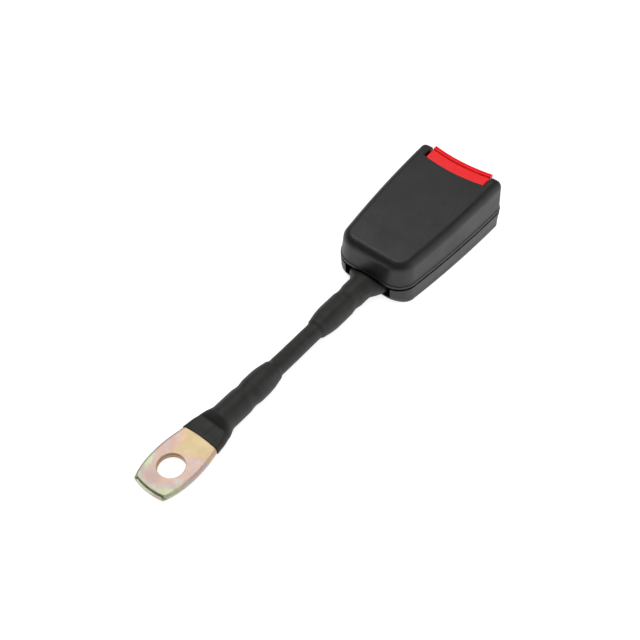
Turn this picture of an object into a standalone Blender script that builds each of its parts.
"""Seat belt buckle on a stalk of steel rope, with a swaged anchor tab. Metres, +Z up, lying on its back.

+X runs along the stalk from the anchor tab to the mouth of the buckle, +Y is to the left. The origin is
below the middle of the object's box, on the surface that the buckle's back rests on.
"""

import math

import bmesh
import bpy
from mathutils import Vector

MM = 0.001

# Fits
PAST = 5 * MM                   # a cut runs this far past the surface that it opens
SUNK = 0.5 * MM                 # what is joined to a surface starts this far inside it
GAP = 0.3 * MM                  # between pieces that touch
RUNNING = 0.4 * MM              # between pieces that slide past each other
PIVOT_FIT = 0.1 * MM            # round the latch's pivot pin

# Rope and its swaged terminals
ROPE_RADIUS = 3.05 * MM
ROPE_STRANDS = 6
ROPE_STRAND_DEPTH = 0.35 * MM   # depth of the valley between two strands
ROPE_LAY = 42 * MM              # length of one turn of the strands
ROPE_INSERTION = 27 * MM        # how far the rope goes into each terminal
BARREL_RADIUS = 5.0 * MM
BARREL_LENGTH = 29 * MM         # from the mouth of the barrel to where it starts to flatten
BARREL_MOUTH_DROP = 1.1 * MM    # the barrel is thinner at its mouth by this much
BARREL_MOUTH_TAPER = 9 * MM
MOUTH_CHAMFER = 0.5 * MM
MOUTH_CHAMFER_LENGTH = 0.8 * MM
WAIST_DROP = 0.42 * MM          # the swaging dies leave a shallow waist
WAIST_LENGTH = 7 * MM
LOWER_WAIST = 15.8 * MM         # from the barrel's mouth
UPPER_WAIST = 20.5 * MM
FLATTENING = 7 * MM             # length in which the round tube turns flat
STEP_START = 0.5                # the width grows first, and the height drops from this share of it
STEP_END = 0.95                 # to this share
TAB_WALL = 1.36 * MM            # each of the two walls pressed together
TAB_SLIT = 0.3 * MM             # between the two walls
TAB_FOLD = 1.9 * MM             # material at each folded edge

# Anchor tab, measured from the centre of its bolt hole
BOLT_HOLE_RADIUS = 5.75 * MM
TAB_TIP = 12.6 * MM             # to the corners of the cut end
TAB_TIP_BULGE = 1.0 * MM        # the cut end bows outward
TAB_TIP_HALF = 7.3 * MM
TAB_TIP_FULLNESS = 2.6          # power of the curve between the widest place and the tip
TAB_HALF = 10.85 * MM           # at its widest, just past the hole
TAB_WIDEST = 3.5 * MM
TAB_ROOT_HALF = 7.3 * MM        # where it meets the flattening tube
TAB_ROOT_FULLNESS = 1.7         # power of the curve between the widest place and the root
ANCHOR_TO_BARREL = 60 * MM      # from the bolt hole to the barrel's mouth
UPPER_TAB_HALF = 9.1 * MM
UPPER_TAB_BULGE = 1.5 * MM
UPPER_FLAT_BEFORE_HEAD = 0.7 * MM   # the upper terminal is flat this far before the head's cable end

# Sleeve
SLEEVE_WALL = 0.6 * MM
SLEEVE_FIT = 0.4 * MM
SLEEVE_START = 16.4 * MM        # from the bolt hole
SLEEVE_START_BOW = 0.7 * MM     # its end sits back a little in the middle
SLEEVE_IN_HEAD = 4.0 * MM
SLEEVE_STEP_START = 0.4 * MM    # past a barrel's mouth, where it starts to close down on the rope
SLEEVE_STEP = 2.2 * MM          # length in which it closes down

# Buckle head
STALK_REACH = 125.2 * MM        # from the bolt hole to the head's cable end
HEAD_LENGTH = 74.3 * MM
CABLE_CORNER = 9.9 * MM
MOUTH_CORNER = 3.6 * MM
LEAST_CORNER = 0.4 * MM         # on the inner outlines
COVER_WALL = 2.0 * MM
LOWER_FLOOR = 2.2 * MM
FLOOR_FILLET = 1.5 * MM         # slope where the lower cover's walls meet its floor
SEAM_ABOVE_STALK = 3.9 * MM
SEAM_GAP = 0.45 * MM
UPPER_START = 13.4 * MM         # height of the upper cover over the seam at the cable end
UPPER_END = 17.65 * MM          # and at the mouth
SHOULDER = 4.2 * MM
UPPER_DRAFT = 0.9 * MM          # how far the upper walls lean in
LOWER_DRAFT = 0.3 * MM
LOWER_EDGE = 1.6 * MM           # rounding of its lower edge along the sides
LOWER_REAR_EDGE = 5.0 * MM      # and round the cable end
FLANGE_HEIGHT = 1.4 * MM
FLANGE_PROUD = 0.55 * MM
FLANGE_LEDGE = 0.2 * MM         # fall of the flange's upper side
LOWER_INSET = 0.35 * MM         # the lower cover stands in from the flange's edge
REBATE = 1.2 * MM               # wall left at the seam outside the lower cover's lip
LIP_HEIGHT = 1.3 * MM           # the lower cover's lip inside the upper cover
LIP_WALL = 0.9 * MM
NOTCH_HALF = 12.5 * MM
NOTCH_DROP = 6.8 * MM           # depth of the stalk's notch below the seam
MOUTH_DEPTH = 4.5 * MM          # the tongue's mouth is cut this far in
MOUTH_SIDE_ROOM = 0.6 * MM
MOUTH_BELOW_FRAME = 0.2 * MM
LIP_CUT_DEPTH = 5 * MM          # the lip is cut back this far under the button

# Button
BUTTON_HALF = 15.9 * MM
BUTTON_SIDE_GAP = 1.4 * MM
BUTTON_LENGTH = 13.8 * MM
BUTTON_BACK_FROM_MOUTH = 0.5 * MM
BUTTON_WALL = 1.8 * MM
BUTTON_BOW = 1.5 * MM           # the pressed face is hollow in plan
BUTTON_LIP = 1.5 * MM           # raised edge along the pressed face
BUTTON_LIP_RISE = 0.8 * MM
BUTTON_LIP_FOOT = 0.7 * MM      # slope between the top strip and the lip
BUTTON_TRAVEL = 4.5 * MM
BUTTON_REAR_ROOM = 1.0 * MM     # behind the button when it is pressed
BUTTON_UNDER_SIDE = 0.6 * MM    # beside the button under the cover's edge
BUTTON_SLIDE_LOW = 2 * MM       # height over the seam at which the room for the button starts
RECESS_DEPTH = 9.7 * MM         # how much of the button's top shows, at its sides
RECESS_BOW = 1.8 * MM
COVER_EDGE = 0.95 * MM          # the upper cover is this thin where the button slides under it
ARM_SIDE_GAP = 0.6 * MM         # between an arm and the frame's cheek
ARM_EDGE = 0.8 * MM             # least height of an arm, at its tip
ARM_FOOT = 3 * MM               # how far the arm reaches up and forward in the button
RAMP_STEP = 0.1 * MM            # step in which the ramp's slope is worked out

# Frame and mechanism; places along the head are measured from its cable end
FRAME_THICKNESS = 2.4 * MM
TONGUE_SLOT_HALF = 13.0 * MM
FRAME_START = 6.1 * MM
FRAME_CHAMFER = 2 * MM
FRAME_REAR_HALF = 10.4 * MM
FRAME_WIDENS = 18.5 * MM
CHEEK_START = 22.5 * MM
CHEEK_END = 54 * MM
CHEEK_RISE = 11.6 * MM          # above the base plate
CHEEK_CHAMFER = 3 * MM          # at the rear
CHEEK_CORNER = 1.5 * MM         # at the front
RAIL_RISE = 5.4 * MM            # the lower cheeks ahead of the latch
RIVET_AT = 13.0 * MM
RIVET_RADIUS = 4.0 * MM
RIVET_HEAD_RADIUS = 6.2 * MM
RIVET_HEAD_HEIGHT = 2.4 * MM
RIVET_SINK = 1.5 * MM
PIVOT_AT = 28.0 * MM
PIVOT_RISE = 8.3 * MM           # above the base plate
PIVOT_RADIUS = 1.5 * MM
PIN_CHAMFER = 0.3 * MM
LATCH_THICKNESS = 2.4 * MM
LATCH_EYE = 3.3 * MM
LATCH_WIDE = 6 * MM             # the latch is as wide as the channel this far past its pivot
LATCH_NARROWS = 3 * MM          # and narrows between the ears in this length
TOOTH_AT = 50.0 * MM
TOOTH_LENGTH = 3.5 * MM
TOOTH_HALF = 6.0 * MM
TOOTH_DIP = 0.8 * MM            # how far the tooth reaches into the base plate
TOOTH_LEAD = 1.4 * MM           # slope on the tooth's front, which the tongue lifts
TOOTH_LEAD_HEIGHT = 4.6 * MM
TOOTH_NOSE = 0.2 * MM           # the plate ends this far past the tooth
TOOTH_SIDE_ROOM = 1 * MM
WINDOW_BEHIND = 1.2 * MM        # room in the base plate behind the tooth
WINDOW_AHEAD = 2.6 * MM         # and ahead of it
EAR_RADIUS = 1.4 * MM
EAR_INNER = 9.6 * MM
EAR_BACK = 0.6 * MM             # from the tooth's back to the ear's centre
EAR_RISE = 0.4 * MM             # of the ear's centre over the pivot
LATCH_LIFT = math.radians(12.5)
EJECTOR_FRONT = 53.0 * MM
EJECTOR_LENGTH = 15.0 * MM
EJECTOR_BRIDGE = 5.0 * MM
EJECTOR_POCKET = 3.0 * MM       # depth of the spring's pocket in the bridge
EJECTOR_HEIGHT = 3.3 * MM
EJECTOR_TRAVEL = 10.0 * MM
EJECTOR_ROOM = 3.4 * MM         # between the pushed-back ejector and the lug
LUG_THICKNESS = 1.4 * MM
LUG_HALF = 4.0 * MM
LUG_RISE = 3.6 * MM
RIB_AT = 44.0 * MM
RIB_THICKNESS = 1.6 * MM
RIB_HALF = 3.4 * MM

# Springs
BUTTON_SPRING_RADIUS = 1.9 * MM
BUTTON_SPRING_WIRE = 0.32 * MM
BUTTON_SPRING_TURNS = 6
BUTTON_SPRING_Y = 10.6 * MM
BUTTON_SPRING_DROP = 2.4 * MM   # below the cover's top at the cable end
ARM_UNDER_SPRING = 1.2 * MM
EJECTOR_SPRING_RADIUS = 1.25 * MM
EJECTOR_SPRING_WIRE = 0.3 * MM
EJECTOR_SPRING_TURNS = 6
EJECTOR_POCKET_FIT = 0.1 * MM
LATCH_SPRING_RADIUS = 2.2 * MM
LATCH_SPRING_WIRE = 0.35 * MM
LATCH_SPRING_TURNS = 4
LATCH_SPRING_AT = 40.0 * MM
LATCH_SPRING_RISE = 1.4 * MM    # of its upper seat over the button springs' axis
LATCH_SEAT_MARGIN = 0.8 * MM    # the seat is wider than the spring by this much all round

# Screws
SCREW_RADIUS = 1.2 * MM
SCREW_HEAD_RADIUS = 2.3 * MM
SCREW_HEAD_HEIGHT = 1.6 * MM
SCREW_HEAD_EDGE = 0.5 * MM
SCREW_SINK = 0.6 * MM
SCREW_LENGTH = 13 * MM
SCREW_POINT = 1.5 * MM
CROSS_REACH = 1.4 * MM
CROSS_HALF = 0.35 * MM
CROSS_DEPTH = 1.0 * MM
PILOT_ROOM = 0.6 * MM           # past the screw's tip
BOSS_RADIUS = 2.6 * MM
BOSS_ABOVE_SEAM = 0.1 * MM
SEAT_RADIUS = 3.3 * MM
REAR_SCREW_AT = 9.2 * MM
REAR_SCREW_Y = 15.2 * MM
REAR_SCREW_TO_EDGE = 4.8 * MM   # from the screw to the head's edge
FRONT_SCREW_AT = 58.5 * MM
FRONT_SCREW_TO_EDGE = 4.6 * MM

# Number of straight sides on round shapes
TUBE_QUARTER_ARC = 3
TUBE_QUARTER_FLAT = 2
ROUND_SIDES = 24
SMALL_SIDES = 12
WIRE_SIDES = 5
COIL_POINTS = 8

# Half widths of the frame and of the head, which is wide enough for the screws beside the frame
FRAME_OUTER = TONGUE_SLOT_HALF + FRAME_THICKNESS
FRONT_SCREW_Y = FRAME_OUTER + GAP + SEAT_RADIUS
HEAD_HALF_START = REAR_SCREW_Y + REAR_SCREW_TO_EDGE
HEAD_HALF_END = FRONT_SCREW_Y + FRONT_SCREW_TO_EDGE

# Heights, from the lower cover's back
TAB_THICKNESS = 2 * TAB_WALL + TAB_SLIT
FRAME_BASE = LOWER_FLOOR + GAP
FRAME_TOP = FRAME_BASE + FRAME_THICKNESS
STALK_Z = FRAME_TOP + GAP + TAB_THICKNESS / 2
SEAM_Z = STALK_Z + SEAM_ABOVE_STALK
RIM_Z = SEAM_Z - SEAM_GAP
UPPER_SLOPE = (UPPER_END - UPPER_START) / HEAD_LENGTH
FRAME_END = HEAD_LENGTH - LOWER_INSET - LOWER_DRAFT - COVER_WALL - FLOOR_FILLET - GAP

# Places along X, from the middle of the whole object
TIP_REACH = TAB_TIP + TAB_TIP_BULGE
HOLE_X = TIP_REACH - (TIP_REACH + STALK_REACH + HEAD_LENGTH) / 2
HEAD_X = HOLE_X + STALK_REACH
MOUTH_X = HEAD_X + HEAD_LENGTH
LOWER_BARREL_X = HOLE_X + ANCHOR_TO_BARREL
UPPER_BARREL_X = HEAD_X - BARREL_LENGTH - FLATTENING - UPPER_FLAT_BEFORE_HEAD
RIVET_X = HEAD_X + RIVET_AT
LUG_AT = EJECTOR_FRONT - EJECTOR_LENGTH - EJECTOR_TRAVEL - EJECTOR_ROOM - LUG_THICKNESS
UPPER_TAB_END = HEAD_X + LUG_AT - GAP - UPPER_TAB_BULGE

PLASTIC_BLACK = ("moulded_black", (0.035, 0.035, 0.037), 0.55, 0.0)
PLASTIC_RED = ("moulded_red", (0.72, 0.02, 0.03), 0.4, 0.0)
PLASTIC_WHITE = ("moulded_natural", (0.7, 0.68, 0.62), 0.5, 0.0)
SLEEVE_BLACK = ("shrink_sleeve", (0.02, 0.02, 0.02), 0.5, 0.0)
ZINC_YELLOW = ("yellow_zinc", (0.72, 0.62, 0.45), 0.35, 0.9)
STEEL_PLATED = ("plated_steel", (0.55, 0.56, 0.57), 0.35, 1.0)
STEEL_SPRING = ("spring_steel", (0.35, 0.36, 0.38), 0.4, 1.0)
STEEL_ROPE = ("rope_steel", (0.42, 0.43, 0.45), 0.45, 1.0)


def material(look):
    """The material with this name, made on first use."""
    name, colour, roughness, metallic = look
    found = bpy.data.materials.get(name)
    if found:
        return found
    made = bpy.data.materials.new(name)
    made.use_nodes = True
    shader = made.node_tree.nodes["Principled BSDF"]
    shader.inputs["Base Color"].default_value = (*colour, 1.0)
    shader.inputs["Roughness"].default_value = roughness
    shader.inputs["Metallic"].default_value = metallic
    return made


def object_from(bm, name, look):
    """Turns a bmesh into a shaded object."""
    bmesh.ops.recalc_face_normals(bm, faces=bm.faces)
    mesh = bpy.data.meshes.new(name)
    bm.to_mesh(mesh)
    bm.free()
    made = bpy.data.objects.new(name, mesh)
    bpy.context.collection.objects.link(made)
    if look:
        mesh.materials.append(material(look))
    mesh.shade_smooth()
    mesh.set_sharp_from_angle(angle=math.radians(35))
    return made


def prism(name, outline, axis, start, end, look=None):
    """An outline drawn across an axis and extruded along it. Across X it is (y, z), across Y (x, z), across Z (x, y)."""
    place = {
        "X": lambda u, v: (start, u, v),
        "Y": lambda u, v: (u, start, v),
        "Z": lambda u, v: (u, v, start),
    }[axis]
    along = {"X": (1, 0, 0), "Y": (0, 1, 0), "Z": (0, 0, 1)}[axis]
    bm = bmesh.new()
    face = bm.faces.new([bm.verts.new(place(u, v)) for u, v in outline])
    grown = bmesh.ops.extrude_face_region(bm, geom=[face])
    moved = [item for item in grown["geom"] if isinstance(item, bmesh.types.BMVert)]
    bmesh.ops.translate(bm, verts=moved, vec=Vector(along) * (end - start))
    return object_from(bm, name, look)


def box(name, low, high, look=None):
    """A block between two corners."""
    outline = [(low[0], low[1]), (high[0], low[1]), (high[0], high[1]), (low[0], high[1])]
    return prism(name, outline, "Z", low[2], high[2], look)


def circle(u, v, radius, sides=ROUND_SIDES):
    """Points round a circle."""
    turn = 2 * math.pi / sides
    return [(u + radius * math.cos(turn * i), v + radius * math.sin(turn * i)) for i in range(sides)]


def turned(name, profile, centre, axis, look, sides=ROUND_SIDES):
    """A profile of (distance along the axis, radius), spun round the axis through centre."""
    along = Vector({"X": (1, 0, 0), "Y": (0, 1, 0), "Z": (0, 0, 1)}[axis])
    across = Vector({"X": (0, 1, 0), "Y": (0, 0, 1), "Z": (1, 0, 0)}[axis])
    bm = bmesh.new()
    line = [bm.verts.new(Vector(centre) + along * a + across * r) for a, r in profile]
    edges = [bm.edges.new(pair) for pair in zip(line, line[1:])]
    bmesh.ops.spin(bm, geom=line + edges, cent=centre, axis=along, angle=2 * math.pi, steps=sides, use_merge=True)
    bmesh.ops.remove_doubles(bm, verts=bm.verts, dist=0.001 * MM)
    return object_from(bm, name, look)


def coil(name, start, end, axis, radius, wire, turns):
    """A compression spring between two seats: a helix with a closed turn at each end."""
    along = Vector({"X": (1, 0, 0), "Z": (0, 0, 1)}[axis])
    side = Vector({"X": (0, 1, 0), "Z": (1, 0, 0)}[axis])
    up = along.cross(side)
    start, end = Vector(start), Vector(end)
    length = (end - start).length - 2 * wire
    count = turns * COIL_POINTS
    curve = bpy.data.curves.new(name, "CURVE")
    curve.dimensions = "3D"
    curve.bevel_depth = wire
    curve.bevel_resolution = 1
    curve.use_fill_caps = True
    spline = curve.splines.new("POLY")
    spline.points.add(count)
    closed = COIL_POINTS / count
    for i, point in enumerate(spline.points):
        share = i / count
        rise = min(max((share - closed) / (1 - 2 * closed), 0), 1) * (1 - 5 * wire / length) + 2.5 * wire / length
        rise += 2.5 * wire / length * (min(share / closed, 1) - 1 + max((share - 1 + closed) / closed, 0))
        turn = 2 * math.pi * i / COIL_POINTS
        place = start + along * (wire + rise * length) + radius * (side * math.cos(turn) + up * math.sin(turn))
        point.co = (*place, 1)
    made = bpy.data.objects.new(name, curve)
    bpy.context.collection.objects.link(made)
    curve.materials.append(material(STEEL_SPRING))
    return made


def combine(target, other, operation):
    """Adds or cuts away another shape with a Boolean; the other stays in the file as a guide."""
    other.hide_render = True
    other.display_type = "WIRE"
    modifier = target.modifiers.new(other.name, "BOOLEAN")
    modifier.operation = operation
    modifier.object = other
    return target


def loft(name, rings, look, closed_ends):
    """Walls between rings of equal count, with flat ends, or joined last to first for a wall with a hollow."""
    bm = bmesh.new()
    loops = [[bm.verts.new(point) for point in ring] for ring in rings]
    pairs = list(zip(loops, loops[1:])) if closed_ends else list(zip(loops, loops[1:] + loops[:1]))
    for one, two in pairs:
        count = len(one)
        for i in range(count):
            bm.faces.new((one[i], one[(i + 1) % count], two[(i + 1) % count], two[i]))
    if closed_ends:
        bm.faces.new(loops[0])
        bm.faces.new(loops[-1])
    return object_from(bm, name, look)


# Stalk

def smooth(share):
    """0 to 1 with a soft start and end."""
    share = min(max(share, 0), 1)
    return share * share * (3 - 2 * share)


def barrel_radius(along, waist):
    """Radius of a swaged barrel at a distance from its mouth."""
    mouth = BARREL_MOUTH_DROP * (1 - min(along / BARREL_MOUTH_TAPER, 1)) ** 2
    pinch = WAIST_DROP * max(0, 1 - ((along - waist) / (WAIST_LENGTH / 2)) ** 2)
    return BARREL_RADIUS - mouth - pinch


def anchor_tab_half(x):
    """Half width of the anchor tab at a distance from the bolt hole, towards the head."""
    if x < TAB_WIDEST:
        share = (TAB_WIDEST - x) / (TAB_WIDEST + TAB_TIP)
        return TAB_HALF - (TAB_HALF - TAB_TIP_HALF) * share ** TAB_TIP_FULLNESS
    share = (x - TAB_WIDEST) / (ANCHOR_TO_BARREL - BARREL_LENGTH - FLATTENING - TAB_WIDEST)
    return TAB_HALF - (TAB_HALF - TAB_ROOT_HALF) * min(share, 1) ** TAB_ROOT_FULLNESS


def terminal_section(along, tab_half, waist):
    """Half width, half height and flatness of a terminal at a distance from its barrel's mouth."""
    if along <= BARREL_LENGTH:
        radius = barrel_radius(along, waist)
        return radius, radius, 0.0
    share = (along - BARREL_LENGTH) / FLATTENING
    flat = smooth((share - STEP_START) / (STEP_END - STEP_START))
    width = BARREL_RADIUS + (tab_half(along) - BARREL_RADIUS) * smooth(share)
    height = BARREL_RADIUS + (TAB_THICKNESS / 2 - BARREL_RADIUS) * flat
    return width, height, flat


def upper_tab_half(along):
    """Half width of the tab inside the head."""
    return UPPER_TAB_HALF


def lower_tab_half(along):
    """Half width of the anchor tab at a distance from its barrel's mouth."""
    return anchor_tab_half(ANCHOR_TO_BARREL - along)


def tube_ring(x, half, height, flat, bow=0.0):
    """A closed section across X that goes from a circle to a flat tube with folded edges."""
    quarter = []
    straight = half - height
    for i in range(TUBE_QUARTER_ARC):
        turn = math.pi / 2 * i / TUBE_QUARTER_ARC
        quarter.append((straight + height * math.cos(turn), height * math.sin(turn)))
    for i in range(TUBE_QUARTER_FLAT):
        quarter.append((straight * (1 - i / TUBE_QUARTER_FLAT), height))
    count = len(quarter)
    points = []
    for corner in range(4):
        for i in range(count):
            index = i if corner % 2 == 0 else count - i
            if index == count:
                pressed = (0.0, height)
            else:
                pressed = quarter[index]
            turn = math.pi / 2 * (index / count)
            round_ = (half * math.cos(turn), height * math.sin(turn))
            y = round_[0] + (pressed[0] - round_[0]) * flat
            z = round_[1] + (pressed[1] - round_[1]) * flat
            y = y if corner in (0, 3) else -y
            z = z if corner in (0, 1) else -z
            shift = bow * (1 - (y / half) ** 2)
            points.append((x + shift, y, STALK_Z + z))
    return points


def tube_wall(half, height, flat):
    """Half width and half height of a terminal's bore."""
    bore = ROPE_RADIUS + GAP
    width = bore + (half - TAB_FOLD - bore) * flat
    return width, bore + (TAB_SLIT / 2 - bore) * flat


def spread(start, end, count):
    """Evenly spaced numbers, both ends included."""
    return [start + (end - start) * i / (count - 1) for i in range(count)]


def terminal_places(tab_end, waist):
    """Distances from the barrel's mouth at which a terminal's section is drawn."""
    barrel = [0, MOUTH_CHAMFER_LENGTH, BARREL_MOUTH_TAPER / 2, BARREL_MOUTH_TAPER]
    waist_places = [waist - WAIST_LENGTH / 2, waist, waist + WAIST_LENGTH / 2]
    flattening = spread(BARREL_LENGTH, BARREL_LENGTH + FLATTENING, 5)
    flat_end = BARREL_LENGTH + FLATTENING
    tab = spread(flat_end, tab_end, max(2, 1 + round((tab_end - flat_end) / (5 * MM))))[1:]
    return barrel + waist_places + flattening + tab


def terminal(name, mouth_x, direction, tab_end, tab_half, waist, tip_bulge, look):
    """A tube swaged on the rope at one end and pressed flat at the other, as one wall with a slit in it."""
    outer, inner = [], []
    for along in terminal_places(tab_end, waist):
        half, height, flat = terminal_section(along, tab_half, waist)
        if along == 0:
            half = height = half - MOUTH_CHAMFER
        bow = direction * tip_bulge if along == tab_end else 0.0
        x = mouth_x + direction * along
        outer.append(tube_ring(x, half, height, flat, bow))
        bore_half, bore_height = tube_wall(half, height, flat)
        inner.append(tube_ring(x, bore_half, bore_height, flat, bow))
    return loft(name, outer + inner[::-1], look, closed_ends=False)


def build_anchor_terminal():
    """The lower terminal, whose tab has the bolt hole."""
    made = terminal("anchor_terminal", LOWER_BARREL_X, -1, ANCHOR_TO_BARREL + TAB_TIP, lower_tab_half,
                    LOWER_WAIST, TAB_TIP_BULGE, ZINC_YELLOW)
    drill = prism("bolt_hole_cut", circle(HOLE_X, 0, BOLT_HOLE_RADIUS, 32), "Z",
                  STALK_Z - 2 * TAB_THICKNESS, STALK_Z + 2 * TAB_THICKNESS)
    return combine(made, drill, "DIFFERENCE")


def build_upper_terminal():
    """The terminal inside the head, with the rivet's hole."""
    made = terminal("upper_terminal", UPPER_BARREL_X, 1, UPPER_TAB_END - UPPER_BARREL_X, upper_tab_half,
                    UPPER_WAIST, UPPER_TAB_BULGE, STEEL_PLATED)
    drill = prism("rivet_hole_cut", circle(RIVET_X, 0, RIVET_RADIUS + GAP), "Z",
                  STALK_Z - 2 * TAB_THICKNESS, STALK_Z + 2 * TAB_THICKNESS)
    return combine(made, drill, "DIFFERENCE")


def build_wire_rope():
    """Strands laid round each other, drawn as one lobed and twisted rod."""
    start = LOWER_BARREL_X - ROPE_INSERTION
    end = UPPER_BARREL_X + ROPE_INSERTION
    rings = []
    sides = ROPE_STRANDS * 4
    for x in spread(start, end, 1 + round((end - start) / (6 * MM))):
        twist = 2 * math.pi * (x - start) / ROPE_LAY
        ring = []
        for i in range(sides):
            turn = 2 * math.pi * i / sides
            radius = ROPE_RADIUS - ROPE_STRAND_DEPTH * (0.5 - 0.5 * math.cos(ROPE_STRANDS * turn))
            ring.append((x, radius * math.cos(turn + twist), STALK_Z + radius * math.sin(turn + twist)))
        rings.append(ring)
    return loft("wire_rope", rings, STEEL_ROPE, closed_ends=True)


def stalk_section(x):
    """Half width, half height and flatness of what the sleeve covers at a place along X."""
    if x <= LOWER_BARREL_X:
        return terminal_section(LOWER_BARREL_X - x, lower_tab_half, LOWER_WAIST)
    if x >= UPPER_BARREL_X:
        return terminal_section(x - UPPER_BARREL_X, upper_tab_half, UPPER_WAIST)
    near = min(x - LOWER_BARREL_X, UPPER_BARREL_X - x)
    step = BARREL_RADIUS - BARREL_MOUTH_DROP - ROPE_RADIUS
    radius = ROPE_RADIUS + step * (1 - smooth((near - SLEEVE_STEP_START) / SLEEVE_STEP))
    return radius, radius, 0.0


def build_sleeve():
    """The shrunk sleeve, which follows the terminals and the rope."""
    start = HOLE_X + SLEEVE_START
    end = HEAD_X + SLEEVE_IN_HEAD
    lower_places = terminal_places(ANCHOR_TO_BARREL - SLEEVE_START, LOWER_WAIST)
    upper_places = terminal_places(end - UPPER_BARREL_X, UPPER_WAIST)
    lower = [LOWER_BARREL_X - along for along in lower_places[::-1]]
    upper = [UPPER_BARREL_X + along for along in upper_places]
    steps = spread(SLEEVE_STEP_START, SLEEVE_STEP_START + SLEEVE_STEP, 4)
    middle = [LOWER_BARREL_X + s for s in steps] + [UPPER_BARREL_X - s for s in steps[::-1]]
    outer, inner = [], []
    for x in lower + middle + upper:
        half, height, flat = stalk_section(x)
        bow = SLEEVE_START_BOW if x == lower[0] else 0.0
        fit = SLEEVE_FIT
        wall = SLEEVE_FIT + SLEEVE_WALL
        inner.append(tube_ring(x, half + fit, height + fit, flat, bow))
        outer.append(tube_ring(x, half + wall, height + wall, flat, bow))
    return loft("heat_shrink_sleeve", outer + inner[::-1], SLEEVE_BLACK, closed_ends=False)


# Covers

def head_half(x):
    """Half width of the head's flange at a distance from its cable end."""
    share = (HEAD_LENGTH - x) / (HEAD_LENGTH - CABLE_CORNER)
    return HEAD_HALF_END - (HEAD_HALF_END - HEAD_HALF_START) * max(share, 0) ** 2


def head_outline(inset, rear_inset=None):
    """The head's outline seen from above, drawn in from its edge by an inset, which may differ at the cable end."""
    rear_inset = inset if rear_inset is None else rear_inset
    side = []
    for i in range(7):
        turn = math.pi / 2 * i / 6
        radius = CABLE_CORNER - rear_inset * math.cos(turn) ** 2 - inset * math.sin(turn) ** 2
        x = CABLE_CORNER - radius * math.cos(turn)
        y = head_half(CABLE_CORNER) - CABLE_CORNER + radius * math.sin(turn)
        side.append((x, y))
    for share in (0.15, 0.33, 0.55, 0.8):
        x = CABLE_CORNER + share * (HEAD_LENGTH - CABLE_CORNER - MOUTH_CORNER)
        side.append((x, head_half(x) - inset))
    radius = max(MOUTH_CORNER - inset, LEAST_CORNER)
    corner = HEAD_LENGTH - inset - radius
    for i in range(5):
        turn = math.pi / 2 * i / 4
        y = head_half(corner) - inset - radius * (1 - math.cos(turn))
        side.append((corner + radius * math.sin(turn), y))
    return [(HEAD_X + x, -y) for x, y in side] + [(HEAD_X + x, y) for x, y in side[::-1]]


def upper_top(x):
    """Height of the upper cover's top face."""
    return SEAM_Z + UPPER_START + UPPER_SLOPE * (x - HEAD_X)


def level_ring(inset, z, rear_inset=None):
    """The outline at one height."""
    return [(x, y, z) for x, y in head_outline(inset, rear_inset)]


def rounding(radius, z):
    """How far an edge rounded with a radius is set back at a height above the face that it rounds into."""
    return radius - math.sqrt(radius ** 2 - max(radius - z, 0) ** 2)


def sloped_ring(inset, below):
    """The outline at a distance below the sloped top."""
    return [(x, y, upper_top(x) - below) for x, y in head_outline(inset)]


def shell(name, outer, inner):
    """A wall between an outer and an inner row of rings, open where the rows start."""
    bm = bmesh.new()
    loops = [[bm.verts.new(point) for point in ring] for ring in outer[::-1] + inner]
    for one, two in zip(loops, loops[1:]):
        count = len(one)
        for i in range(count):
            bm.faces.new((one[i], one[(i + 1) % count], two[(i + 1) % count], two[i]))
    bm.faces.new(loops[0])
    bm.faces.new(loops[-1])
    return object_from(bm, name, PLASTIC_BLACK)


def shoulder_rings(inset, radius, below, steps):
    """Rings round a soft edge between a side wall and the sloped top."""
    rings = []
    for i in range(steps + 1):
        turn = math.pi / 2 * i / steps
        rings.append(sloped_ring(inset + radius * (1 - math.cos(turn)), below + radius * (1 - math.sin(turn))))
    return rings


def arc_across(x_side, bow, half, steps=8):
    """Points across Y along a shallow arc, set back by the bow in the middle."""
    return [(x_side - bow * (1 - (y / half) ** 2), y) for y in spread(-half, half, steps + 1)]


def screw_places():
    """X and Y of the four cover screws."""
    pairs = ((REAR_SCREW_AT, REAR_SCREW_Y), (FRONT_SCREW_AT, FRONT_SCREW_Y))
    return [(HEAD_X + x, side * y) for x, y in pairs for side in (-1, 1)]


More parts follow.
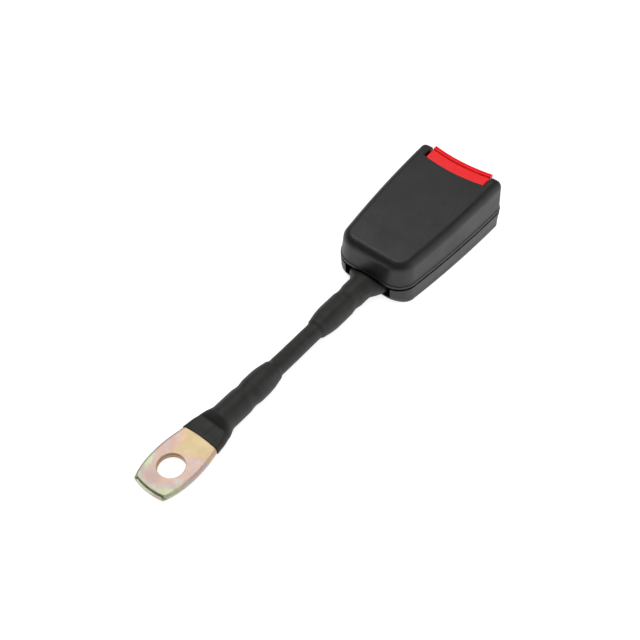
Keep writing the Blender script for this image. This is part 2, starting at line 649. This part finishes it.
def build_upper_cover():
    """The upper shell, with the button's recess, its screw posts and the spring seats."""
    wall = FLANGE_PROUD + COVER_WALL
    outer = [
        level_ring(0, SEAM_Z),
        level_ring(0, SEAM_Z + FLANGE_HEIGHT),
        level_ring(FLANGE_PROUD, SEAM_Z + FLANGE_HEIGHT + FLANGE_LEDGE),
    ] + shoulder_rings(FLANGE_PROUD + UPPER_DRAFT, SHOULDER, 0, 4)
    inner = [
        level_ring(REBATE, SEAM_Z),
        level_ring(REBATE, SEAM_Z + LIP_HEIGHT + GAP),
        level_ring(wall, SEAM_Z + LIP_HEIGHT + GAP),
    ] + shoulder_rings(wall + UPPER_DRAFT, SHOULDER - COVER_WALL, COVER_WALL, 2)
    cover = shell("upper_cover", outer, inner)
    for number, (x, y) in enumerate(screw_places(), 1):
        post = prism(f"screw_post_{number}", circle(x, y, BOSS_RADIUS, SMALL_SIDES), "Z",
                     SEAM_Z + BOSS_ABOVE_SEAM, upper_top(x) - SHOULDER)
        combine(cover, post, "UNION")
    rib_x, seat_x = HEAD_X + RIB_AT, HEAD_X + LATCH_SPRING_AT
    for side in (-1, 1):
        y = side * BUTTON_SPRING_Y
        rib = box(f"spring_rib_{'right' if side < 0 else 'left'}",
                  (rib_x - RIB_THICKNESS, y - RIB_HALF, spring_z() - RIB_HALF),
                  (rib_x, y + RIB_HALF, upper_top(rib_x) - COVER_WALL + SUNK))
        combine(cover, rib, "UNION")
    seat = prism("latch_spring_post", circle(seat_x, 0, LATCH_SPRING_RADIUS + LATCH_SEAT_MARGIN, SMALL_SIDES),
                 "Z", latch_spring_top(), upper_top(seat_x) - COVER_WALL + SUNK)
    combine(cover, seat, "UNION")

    half = BUTTON_HALF + BUTTON_SIDE_GAP
    back = arc_across(MOUTH_X - RECESS_DEPTH, RECESS_BOW, half)
    recess = prism("button_recess_cut", back + [(MOUTH_X + PAST, half), (MOUTH_X + PAST, -half)], "Z",
                   SEAM_Z - PAST, SEAM_Z + 2 * UPPER_END)
    combine(cover, recess, "DIFFERENCE")
    under = BUTTON_HALF + BUTTON_UNDER_SIDE
    reach = MOUTH_X - BUTTON_BACK_FROM_MOUTH - BUTTON_LENGTH - BUTTON_TRAVEL - BUTTON_REAR_ROOM
    profile = [(x, upper_top(x) - COVER_EDGE) for x in (reach, MOUTH_X)]
    profile += [(MOUTH_X, SEAM_Z + BUTTON_SLIDE_LOW), (reach, SEAM_Z + BUTTON_SLIDE_LOW)]
    combine(cover, prism("button_slide_cut", profile, "Y", -under, under), "DIFFERENCE")
    for number, (x, y) in enumerate(screw_places(), 1):
        hole = prism(f"pilot_cut_{number}", circle(x, y, SCREW_RADIUS + GAP, SMALL_SIDES), "Z",
                     SEAM_Z - PAST, screw_tip_z() + PILOT_ROOM)
        combine(cover, hole, "DIFFERENCE")
    return cover


def build_lower_cover():
    """The back shell, with the stalk's notch, the tongue's mouth and the screw seats."""
    low = LOWER_INSET + LOWER_DRAFT
    outer = [level_ring(LOWER_INSET, RIM_Z)]
    for share in (1, 0.5, 0.25, 0.1, 0):
        z = share * LOWER_REAR_EDGE
        outer.append(level_ring(low + rounding(LOWER_EDGE, z), z, low + rounding(LOWER_REAR_EDGE, z)))
    lip = REBATE + GAP
    inner = [
        level_ring(lip, RIM_Z),
        level_ring(lip, SEAM_Z + LIP_HEIGHT - GAP),
        level_ring(lip + LIP_WALL, SEAM_Z + LIP_HEIGHT - GAP),
        level_ring(low + COVER_WALL, LOWER_FLOOR + FLOOR_FILLET, low + COVER_WALL + FLOOR_FILLET),
        level_ring(low + COVER_WALL + FLOOR_FILLET, LOWER_FLOOR, low + COVER_WALL + 2 * FLOOR_FILLET),
    ]
    cover = shell("lower_cover", outer, inner)
    for number, (x, y) in enumerate(screw_places(), 1):
        post = prism(f"screw_seat_{number}", circle(x, y, SEAT_RADIUS, SMALL_SIDES), "Z",
                     LOWER_FLOOR / 2, RIM_Z)
        combine(cover, post, "UNION")
        room = prism(f"post_clearance_cut_{number}", circle(x, y, BOSS_RADIUS + 2 * RUNNING, SMALL_SIDES), "Z",
                     RIM_Z, SEAM_Z + PAST)
        combine(cover, room, "DIFFERENCE")
    notch = box("stalk_notch_cut", (HEAD_X - PAST, -NOTCH_HALF, SEAM_Z - NOTCH_DROP),
                (HEAD_X + FRAME_START, NOTCH_HALF, SEAM_Z + PAST))
    combine(cover, notch, "DIFFERENCE")
    slot = TONGUE_SLOT_HALF + MOUTH_SIDE_ROOM
    mouth = box("tongue_mouth_cut", (MOUTH_X - MOUTH_DEPTH, -slot, FRAME_TOP - MOUTH_BELOW_FRAME),
                (MOUTH_X + PAST, slot, SEAM_Z + PAST))
    combine(cover, mouth, "DIFFERENCE")
    half = BUTTON_HALF + BUTTON_SIDE_GAP
    lip_cut = box("button_clearance_cut", (MOUTH_X - LIP_CUT_DEPTH, -half, RIM_Z),
                  (MOUTH_X + PAST, half, SEAM_Z + PAST))
    combine(cover, lip_cut, "DIFFERENCE")
    for number, (x, y) in enumerate(screw_places(), 1):
        hole = prism(f"screw_clearance_cut_{number}", circle(x, y, SCREW_RADIUS + GAP, SMALL_SIDES), "Z",
                     -PAST, SEAM_Z + PAST)
        sink = prism(f"screw_head_cut_{number}", circle(x, y, SCREW_HEAD_RADIUS + GAP, SMALL_SIDES), "Z",
                     -PAST, screw_seat_z())
        combine(cover, hole, "DIFFERENCE")
        combine(cover, sink, "DIFFERENCE")
    return cover


def screw_seat_z():
    """Height of the shoulder that a screw's head bears on."""
    return SCREW_SINK + SCREW_HEAD_HEIGHT + GAP


def screw_tip_z():
    """Height of a screw's tip."""
    return SCREW_SINK + SCREW_LENGTH


def build_screws():
    """Pan-head screws, driven from the back, each with a cross recess."""
    profile = [
        (0, 0), (0, SCREW_HEAD_RADIUS - SCREW_HEAD_EDGE), (SCREW_HEAD_EDGE, SCREW_HEAD_RADIUS),
        (SCREW_HEAD_HEIGHT, SCREW_HEAD_RADIUS), (SCREW_HEAD_HEIGHT, SCREW_RADIUS),
        (SCREW_LENGTH - SCREW_POINT, SCREW_RADIUS), (SCREW_LENGTH, 0),
    ]
    arm, slot = CROSS_REACH, CROSS_HALF
    cross = [(slot, slot), (slot, arm), (-slot, arm), (-slot, slot), (-arm, slot), (-arm, -slot),
             (-slot, -slot), (-slot, -arm), (slot, -arm), (slot, -slot), (arm, -slot), (arm, slot)]
    for number, (x, y) in enumerate(screw_places(), 1):
        screw = turned(f"cover_screw_{number}", profile, (x, y, SCREW_SINK), "Z", STEEL_PLATED, SMALL_SIDES)
        recess = prism(f"cross_cut_{number}", [(x + u, y + v) for u, v in cross], "Z",
                       SCREW_SINK - PAST, SCREW_SINK + CROSS_DEPTH)
        combine(screw, recess, "DIFFERENCE")


# Button

def button_top(x):
    """Height of the button's top strip: it slides back under the cover's thin edge."""
    return upper_top(x) - COVER_EDGE - GAP - UPPER_SLOPE * BUTTON_TRAVEL


def spring_z():
    """Height of the button springs' axis."""
    return SEAM_Z + UPPER_START - BUTTON_SPRING_DROP


def button_block(name, x_back, x_face, half, low, inset, look=None):
    """The button's outline in plan, from its back to its hollow face, drawn in by an inset."""
    face = arc_across(x_face - inset, BUTTON_BOW, half - inset)
    plan = [(x_back, -half + inset)] + face + [(x_back, half - inset)]
    bm = bmesh.new()
    bottom = [bm.verts.new((x, y, low)) for x, y in plan]
    top = [bm.verts.new((x, y, button_top(x) - inset)) for x, y in plan]
    count = len(plan)
    for i in range(count):
        bm.faces.new((bottom[i], bottom[(i + 1) % count], top[(i + 1) % count], top[i]))
    bm.faces.new(bottom)
    bm.faces.new(top)
    return object_from(bm, name, look)


def build_button():
    """The red button: a hollow block with a lip along its face, and an arm each side that lifts the latch."""
    face = MOUTH_X - BUTTON_BACK_FROM_MOUTH
    back = face - BUTTON_LENGTH
    low = SEAM_Z + RUNNING
    button = button_block("release_button", back, face, BUTTON_HALF, low, 0, PLASTIC_RED)
    hollow = button_block("button_hollow_cut", back - PAST, face, BUTTON_HALF, low + BUTTON_WALL, BUTTON_WALL)
    combine(button, hollow, "DIFFERENCE")
    edge = arc_across(face, BUTTON_BOW, BUTTON_HALF)
    foot = BUTTON_LIP + BUTTON_LIP_FOOT
    bm = bmesh.new()
    rings = []
    for x, y in edge:
        top = button_top(x)
        rings.append([bm.verts.new(place) for place in (
            (x, y, top - SUNK), (x - foot, y, top - SUNK), (x - foot, y, top - UPPER_SLOPE * foot),
            (x - BUTTON_LIP, y, top + BUTTON_LIP_RISE), (x, y, top + BUTTON_LIP_RISE))])
    for one, two in zip(rings, rings[1:]):
        for i in range(5):
            bm.faces.new((one[i], one[(i + 1) % 5], two[(i + 1) % 5], two[i]))
    bm.faces.new(rings[0])
    bm.faces.new(rings[-1])
    combine(button, object_from(bm, "button_lip", None), "UNION")
    for side in (-1, 1):
        inner = side * EAR_INNER
        outer = side * (TONGUE_SLOT_HALF - ARM_SIDE_GAP)
        arm = prism(f"button_arm_{'right' if side < 0 else 'left'}", arm_outline(back), "Y",
                    min(inner, outer), max(inner, outer))
        combine(button, arm, "UNION")
    return button


def ear_path(press):
    """Centre of the latch's ear, seen from the button, when the button is pressed by a distance."""
    lift = LATCH_LIFT * press / BUTTON_TRAVEL
    reach = ear_x() - pivot_x()
    rise = ear_z() - pivot_z()
    x = pivot_x() + reach * math.cos(lift) - rise * math.sin(lift) + press
    z = pivot_z() + reach * math.sin(lift) + rise * math.cos(lift)
    return x, z


def arm_outline(back):
    """Side view of an arm: a ramp that passes just under the ear as it rises."""
    ramp = []
    clear = EAR_RADIUS + GAP
    for i in range(5):
        press = BUTTON_TRAVEL * i / 4
        x, z = ear_path(press)
        ahead = ear_path(press + RAMP_STEP)
        slope = math.atan2(ahead[1] - z, ahead[0] - x)
        ramp.append((x + clear * math.sin(slope), z - clear * math.cos(slope)))
    low = FRAME_TOP + GAP + EJECTOR_HEIGHT + RUNNING
    tip_x, tip_z = ramp[0]
    run = tip_z - low - ARM_EDGE
    top_x, top_z = ramp[-1]
    level = min(top_z + ARM_EDGE, spring_z() - BUTTON_SPRING_RADIUS - ARM_UNDER_SPRING)
    return ([(tip_x - run, low), (tip_x - run, low + ARM_EDGE)] + ramp
            + [(top_x + ARM_EDGE, level), (back + ARM_FOOT, level), (back + ARM_FOOT, low + ARM_FOOT),
               (back - ARM_EDGE, low)])


# Frame

def build_frame():
    """A folded channel: base plate, two cheeks with the pivot's holes, and a bent-up lug for the ejector's spring."""
    outer, chamfer, corner = FRAME_OUTER, FRAME_CHAMFER, CHEEK_CORNER
    start, end, widens = HEAD_X + FRAME_START, HEAD_X + FRAME_END, HEAD_X + FRAME_WIDENS
    plan = [(start, -FRAME_REAR_HALF + chamfer), (start + chamfer, -FRAME_REAR_HALF), (widens, -FRAME_REAR_HALF),
            (widens + 2 * chamfer, -outer), (end, -outer)]
    plan += [(x, -y) for x, y in plan[::-1]]
    frame = prism("buckle_frame", plan, "Z", FRAME_BASE, FRAME_TOP, STEEL_PLATED)
    cheek_top = FRAME_TOP + CHEEK_RISE
    rail_top = min(FRAME_TOP + RAIL_RISE, SEAM_Z - GAP)
    first, last = HEAD_X + CHEEK_START, HEAD_X + CHEEK_END
    side_view = [(first, FRAME_TOP - SUNK), (end, FRAME_TOP - SUNK), (end, rail_top - corner),
                 (end - corner, rail_top), (last, rail_top), (last, cheek_top - corner),
                 (last - corner, cheek_top), (first + CHEEK_CHAMFER, cheek_top), (first, cheek_top - CHEEK_CHAMFER)]
    for side in (-1, 1):
        faces = sorted((side * TONGUE_SLOT_HALF, side * outer))
        word = "right" if side < 0 else "left"
        combine(frame, prism(f"cheek_{word}", side_view, "Y", *faces), "UNION")
    lug_face = HEAD_X + LUG_AT + LUG_THICKNESS
    lug = box("spring_lug", (HEAD_X + LUG_AT, -LUG_HALF, FRAME_TOP - SUNK),
              (lug_face, LUG_HALF, FRAME_TOP + LUG_RISE))
    combine(frame, lug, "UNION")
    pivot = prism("pivot_hole_cut", circle(pivot_x(), pivot_z(), PIVOT_RADIUS + PIVOT_FIT, SMALL_SIDES), "Y",
                  -2 * outer, 2 * outer)
    combine(frame, pivot, "DIFFERENCE")
    window_half = TOOTH_HALF + TOOTH_SIDE_ROOM
    window = box("tooth_window_cut", (tooth_x() - WINDOW_BEHIND, -window_half, 0),
                 (tooth_x() + TOOTH_LENGTH + WINDOW_AHEAD, window_half, FRAME_TOP + PAST))
    combine(frame, window, "DIFFERENCE")
    lug_slot = box("lug_slot_cut", (lug_face, -LUG_HALF, 0), (lug_face + LUG_RISE, LUG_HALF, FRAME_TOP + PAST))
    combine(frame, lug_slot, "DIFFERENCE")
    sink = turned("rivet_sink_cut", [
        (-RIVET_SINK, 0), (-RIVET_SINK, RIVET_RADIUS + 2 * RIVET_SINK + GAP), (RIVET_SINK, RIVET_RADIUS + GAP),
        (2 * FRAME_THICKNESS, RIVET_RADIUS + GAP), (2 * FRAME_THICKNESS, 0)],
        (RIVET_X, 0, FRAME_BASE), "Z", None)
    combine(frame, sink, "DIFFERENCE")
    return frame


def build_rivet():
    """The rivet through the tab and the base plate, sunk below and domed above."""
    head_z = STALK_Z + TAB_THICKNESS / 2 + GAP
    dome = [(head_z + RIVET_HEAD_HEIGHT * math.sin(turn), RIVET_HEAD_RADIUS * math.cos(turn))
            for turn in spread(0, math.pi / 2, 5)[:-1]]
    profile = [(FRAME_BASE, 0), (FRAME_BASE, RIVET_RADIUS + RIVET_SINK), (FRAME_BASE + RIVET_SINK, RIVET_RADIUS),
               (head_z, RIVET_RADIUS)] + dome + [(head_z + RIVET_HEAD_HEIGHT, 0)]
    return turned("terminal_rivet", profile, (RIVET_X, 0, 0), "Z", STEEL_PLATED)


# Latch

def pivot_x():
    return HEAD_X + PIVOT_AT


def pivot_z():
    return FRAME_TOP + PIVOT_RISE


def tooth_x():
    return HEAD_X + TOOTH_AT


def ear_x():
    return tooth_x() - EAR_BACK


def ear_z():
    return pivot_z() + EAR_RISE


def latch_spring_top():
    """Height of the latch spring's seat under the upper cover."""
    return spring_z() + LATCH_SPRING_RISE


def build_latch():
    """The flap: an eye on the pivot, a flat plate, a tooth that hooks down, and an ear each side for the button."""
    half = TONGUE_SLOT_HALF - RUNNING
    top = pivot_z() + LATCH_THICKNESS / 2
    low = pivot_z() - LATCH_THICKNESS / 2
    nose = tooth_x() + TOOTH_LENGTH
    tooth_low = FRAME_TOP - TOOTH_DIP
    wide = pivot_x() + LATCH_WIDE
    plate = [(pivot_x(), -half), (wide, -half), (wide + LATCH_NARROWS, -EAR_INNER + RUNNING),
             (nose, -EAR_INNER + RUNNING)]
    plate += [(x, -y) for x, y in plate[::-1]]
    latch = prism("latch_plate", plate, "Z", low, top, STEEL_PLATED)
    eye = prism("latch_eye", circle(pivot_x(), pivot_z(), LATCH_EYE, SMALL_SIDES), "Y", -half, half)
    combine(latch, eye, "UNION")
    tip = nose - TOOTH_NOSE
    hook = [(tooth_x(), top - SUNK), (tooth_x(), tooth_low), (tip - TOOTH_LEAD, tooth_low),
            (tip, tooth_low + TOOTH_LEAD_HEIGHT), (tip, top - SUNK)]
    combine(latch, prism("latch_tooth", hook, "Y", -TOOTH_HALF, TOOTH_HALF), "UNION")
    ear = prism("latch_ears", circle(ear_x(), ear_z(), EAR_RADIUS, SMALL_SIDES), "Y", -half, half)
    combine(latch, ear, "UNION")
    bore = prism("latch_bore_cut", circle(pivot_x(), pivot_z(), PIVOT_RADIUS + PIVOT_FIT, SMALL_SIDES), "Y",
                 -2 * half, 2 * half)
    return combine(latch, bore, "DIFFERENCE")


def build_latch_pin():
    """The pivot pin, with its ends flush with the cheeks."""
    outer, edge = FRAME_OUTER, PIN_CHAMFER
    profile = [(-outer, 0), (-outer, PIVOT_RADIUS - edge), (-outer + edge, PIVOT_RADIUS),
               (outer - edge, PIVOT_RADIUS), (outer, PIVOT_RADIUS - edge), (outer, 0)]
    return turned("latch_pin", profile, (pivot_x(), 0, pivot_z()), "Y", STEEL_PLATED, SMALL_SIDES)


# Ejector

def ejector_z():
    return FRAME_TOP + GAP


def ejector_spring_z():
    return ejector_z() + EJECTOR_HEIGHT / 2


def build_ejector():
    """A fork that straddles the tooth: the tongue pushes its two arms, the spring pushes its bridge."""
    front = HEAD_X + EJECTOR_FRONT
    back = front - EJECTOR_LENGTH
    half = TONGUE_SLOT_HALF - RUNNING
    slot = TOOTH_HALF + TOOTH_SIDE_ROOM
    plan = [(back, -half), (front, -half), (front, -slot), (back + EJECTOR_BRIDGE, -slot),
            (back + EJECTOR_BRIDGE, slot), (front, slot), (front, half), (back, half)]
    ejector = prism("ejector", plan, "Z", ejector_z(), ejector_z() + EJECTOR_HEIGHT, PLASTIC_WHITE)
    bore = EJECTOR_SPRING_RADIUS + EJECTOR_SPRING_WIRE + EJECTOR_POCKET_FIT
    pocket = prism("spring_pocket_cut", circle(0, ejector_spring_z(), bore, SMALL_SIDES), "X",
                   back - PAST, back + EJECTOR_POCKET)
    return combine(ejector, pocket, "DIFFERENCE")


def build_springs():
    """Four compression springs, each from a fixed seat to the piece that it returns."""
    back = HEAD_X + EJECTOR_FRONT - EJECTOR_LENGTH + EJECTOR_POCKET
    coil("ejector_spring", (HEAD_X + LUG_AT + LUG_THICKNESS + GAP, 0, ejector_spring_z()),
         (back - GAP, 0, ejector_spring_z()), "X", EJECTOR_SPRING_RADIUS, EJECTOR_SPRING_WIRE, EJECTOR_SPRING_TURNS)
    inside = MOUTH_X - BUTTON_BACK_FROM_MOUTH - BUTTON_WALL - BUTTON_BOW - GAP
    for side, word in ((1, "left"), (-1, "right")):
        y = side * BUTTON_SPRING_Y
        coil(f"button_spring_{word}", (HEAD_X + RIB_AT + GAP, y, spring_z()), (inside, y, spring_z()), "X",
             BUTTON_SPRING_RADIUS, BUTTON_SPRING_WIRE, BUTTON_SPRING_TURNS)
    x = HEAD_X + LATCH_SPRING_AT
    coil("latch_spring", (x, 0, pivot_z() + LATCH_THICKNESS / 2 + GAP), (x, 0, latch_spring_top() - GAP), "Z",
         LATCH_SPRING_RADIUS, LATCH_SPRING_WIRE, LATCH_SPRING_TURNS)


def build_all():
    """Clears the scene and builds every piece."""
    for old in list(bpy.data.objects):
        bpy.data.objects.remove(old)
    build_upper_cover()
    build_lower_cover()
    build_button()
    build_frame()
    build_latch()
    build_latch_pin()
    build_ejector()
    build_springs()
    build_upper_terminal()
    build_rivet()
    build_wire_rope()
    build_anchor_terminal()
    build_sleeve()
    build_screws()


build_all()
